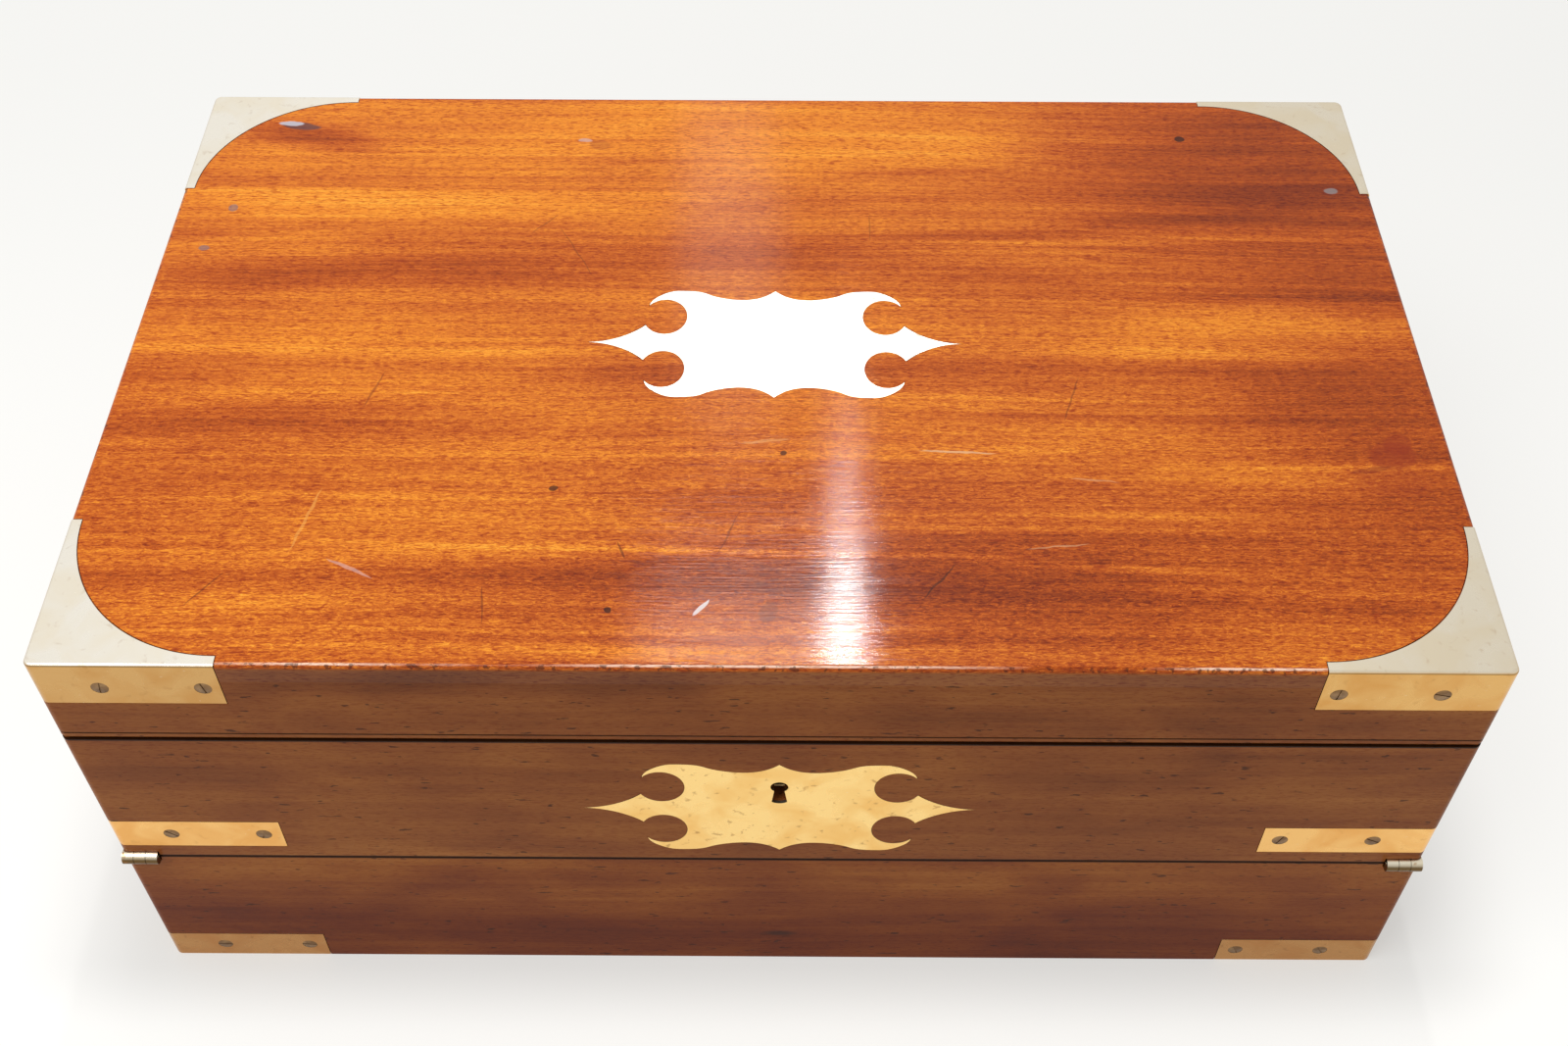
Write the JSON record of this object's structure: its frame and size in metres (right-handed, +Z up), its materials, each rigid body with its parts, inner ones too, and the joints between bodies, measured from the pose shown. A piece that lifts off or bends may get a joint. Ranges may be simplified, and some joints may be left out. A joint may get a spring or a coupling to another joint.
{
  "type": "writing slope",
  "caption": "Brass-bound wooden box: the hollow lid lifts at the back and the front section folds over to make a long sloping writing surface with storage under it.",
  "frame": {"origin": "centre of the underside of the closed box, on the surface that it stands on", "axes": "+X to the right along the width, +Y to the back where the lid is hinged, +Z up"},
  "size_m": [0.508, 0.3236, 0.208],
  "materials": {
    "mahogany": "French-polished mahogany, high gloss",
    "mahogany_inside": "oiled mahogany, satin",
    "brass": "polished sheet brass, slightly tarnished",
    "brass_fixings": "dull brass",
    "leather": "dark red skiver leather, satin",
    "lining": "dark red silk velvet",
    "glass": "clear pressed glass"
  },
  "bodies": {
    "base": {"back_hinges_lower": "brass", "base_back_board": "mahogany", "base_flap": "mahogany", "base_floor": "mahogany_inside", "base_front_board": "mahogany", "base_leather": "leather", "base_ledges": "mahogany_inside", "base_left_board": "mahogany", "base_right_board": "mahogany", "base_screws": "brass_fixings", "base_strap_back_left": "brass", "base_strap_back_right": "brass", "base_strap_front_left": "brass", "base_strap_front_right": "brass", "dividers": "mahogany_inside", "front_hinge_lower_left": "brass", "front_hinge_lower_right": "brass", "handle_plate_left": "brass", "handle_plate_right": "brass", "hinge_pins": "brass_fixings", "ink_bottles": "glass", "ink_caps": "brass", "pen_tray": "mahogany_inside", "standish_floor": "mahogany_inside", "standish_wall": "mahogany_inside", "upper_straps": "brass"},
    "lid": {"back_hinges_upper": "brass", "lid_back_rail": "mahogany", "lid_bracket_back_left": "brass", "lid_bracket_back_right": "brass", "lid_bracket_front_left": "brass", "lid_bracket_front_right": "brass", "lid_front_rail": "mahogany", "lid_left_rail": "mahogany", "lid_lining": "lining", "lid_lipping": "mahogany", "lid_panel": "mahogany", "lid_plate": "brass", "lid_right_rail": "mahogany", "lid_screws": "brass_fixings", "link_plate": "brass_fixings"},
    "slope": {"front_hinge_upper_left": "brass", "front_hinge_upper_right": "brass", "lock_case": "brass_fixings", "lock_plate": "brass", "slope_flap": "mahogany", "slope_floor": "mahogany_inside", "slope_front_board": "mahogany", "slope_leather": "leather", "slope_ledges": "mahogany_inside", "slope_left_cheek": "mahogany", "slope_rear_rail": "mahogany", "slope_right_cheek": "mahogany", "slope_screws": "brass_fixings", "slope_strap_front_left": "brass", "slope_strap_front_right": "brass"},
    "bolt": {"lock_bolt": "brass_fixings"},
    "left_handle": {"handle_bail_left": "brass"},
    "right_handle": {"handle_bail_right": "brass"}
  },
  "joints": [
    {"name": "lid_hinge", "type": "hinge", "parent": "base", "child": "lid", "pos_m": [0, 0.1588, 0.16505], "axis": [-1, 0, 0], "range_deg": [0, 110]},
    {"name": "slope_fold", "type": "hinge", "parent": "base", "child": "slope", "pos_m": [0, -0.1588, 0.0815], "axis": [1, 0, 0], "range_deg": [0, 180]},
    {"name": "bolt_slide", "type": "slide", "parent": "slope", "child": "bolt", "axis": [1, 0, 0], "range_m": [0, 0.004]},
    {"name": "left_handle_swing", "type": "hinge", "parent": "base", "child": "left_handle", "pos_m": [-0.2515, 0, 0.0685], "axis": [0, 1, 0], "range_deg": [0, 90]},
    {"name": "right_handle_swing", "type": "hinge", "parent": "base", "child": "right_handle", "pos_m": [0.2515, 0, 0.0685], "axis": [0, -1, 0], "range_deg": [0, 90]}
  ],
  "couplings": [
    {"joint": "slope_fold", "follows": "lid_hinge", "ratio": 1.6363}
  ]
}
